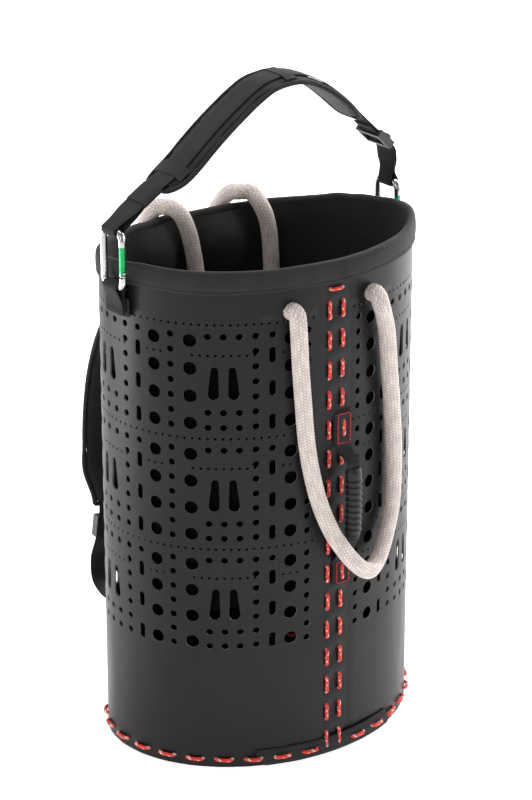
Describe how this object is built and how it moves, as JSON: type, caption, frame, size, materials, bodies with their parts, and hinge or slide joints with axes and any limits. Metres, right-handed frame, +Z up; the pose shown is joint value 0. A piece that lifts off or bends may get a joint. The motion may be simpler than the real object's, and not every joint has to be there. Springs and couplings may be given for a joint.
{
  "type": "rope storage bag",
  "caption": "Oval perforated plastic tub bag for storing climbing rope, laced up the front, with rope handles, a clip-on padded carry strap and shoulder straps.",
  "frame": {"origin": "middle of the base underside, on the ground", "axes": "+Z up along the bag, -Y towards the laced front seam, +X to the side of the slider"},
  "size_m": [0.3396, 0.3091, 0.639],
  "materials": {
    "plastic": "satin",
    "moulded": "satin",
    "fabric": "matte",
    "pad": "matte",
    "lacing": "woven",
    "rope": "woven",
    "rubber": "matte",
    "silver": "polished",
    "gate": "gloss",
    "label": "matte"
  },
  "bodies": {
    "bag": {"shell": "plastic", "base_plate": "plastic", "collar": "fabric", "lining": "fabric", "front_patch": "fabric", "seam_lacing_left": "lacing", "seam_lacing_right": "lacing", "seam_lacing_top": "lacing", "base_lacing": "lacing", "front_rope_ends": "rope", "back_rope_ends": "rope", "grip_patch_upper": "fabric", "grip_patch_lower": "fabric", "grip_webbing": "fabric", "grip_rubber": "rubber", "tab_patch_left": "fabric", "tab_patch_right": "fabric", "shoulder_pad_left": "pad", "shoulder_pad_right": "pad", "shoulder_webbing_left": "fabric", "shoulder_webbing_right": "fabric", "shoulder_adjuster_left": "moulded", "shoulder_adjuster_right": "moulded"},
    "front_rope": {"front_rope_handle": "rope"},
    "back_rope": {"back_rope_handle": "rope"},
    "carry_strap": {"tab_loop_left": "fabric", "tab_loop_right": "fabric", "carabiner_left": "silver", "carabiner_right": "silver", "gate_pin_left": "silver", "gate_pin_right": "silver", "strap_webbing": "fabric", "strap_pad": "pad", "strap_keeper": "fabric", "strap_label": "label"},
    "gate_arm_left": {"gate_left": "gate"},
    "gate_arm_right": {"gate_right": "gate"},
    "slider": {"strap_slider": "moulded"}
  },
  "joints": [
    {"name": "front_rope_swing", "type": "hinge", "parent": "bag", "child": "front_rope", "pos_m": [0.006, -0.131, 0.458], "axis": [-1, 0, 0], "range_deg": [0, 140]},
    {"name": "back_rope_swing", "type": "hinge", "parent": "bag", "child": "back_rope", "pos_m": [0.005, 0.107, 0.49], "axis": [-1, 0, 0], "range_deg": [0, 120]},
    {"name": "carry_strap_swing", "type": "hinge", "parent": "bag", "child": "carry_strap", "pos_m": [0, 0, 0.44725], "axis": [0.9903, 0.1216, -0.0671], "range_deg": [-40, 40]},
    {"name": "gate_left_open", "type": "hinge", "parent": "carry_strap", "child": "gate_arm_left", "pos_m": [-0.16061, -0.03357, 0.49025], "axis": [-0.9925, -0.1219, 0], "range_deg": [0, 25], "stiffness_Nm_per_rad": 0.03, "springref_deg": -28.65},
    {"name": "gate_right_open", "type": "hinge", "parent": "carry_strap", "child": "gate_arm_right", "pos_m": [0.16396, 0.00628, 0.46825], "axis": [-0.9925, -0.1219, 0], "range_deg": [0, 25], "stiffness_Nm_per_rad": 0.03, "springref_deg": -28.65},
    {"name": "slider_slide", "type": "slide", "parent": "carry_strap", "child": "slider", "axis": [0.7133, 0.0876, -0.6953], "range_m": [-0.018, 0]}
  ]
}
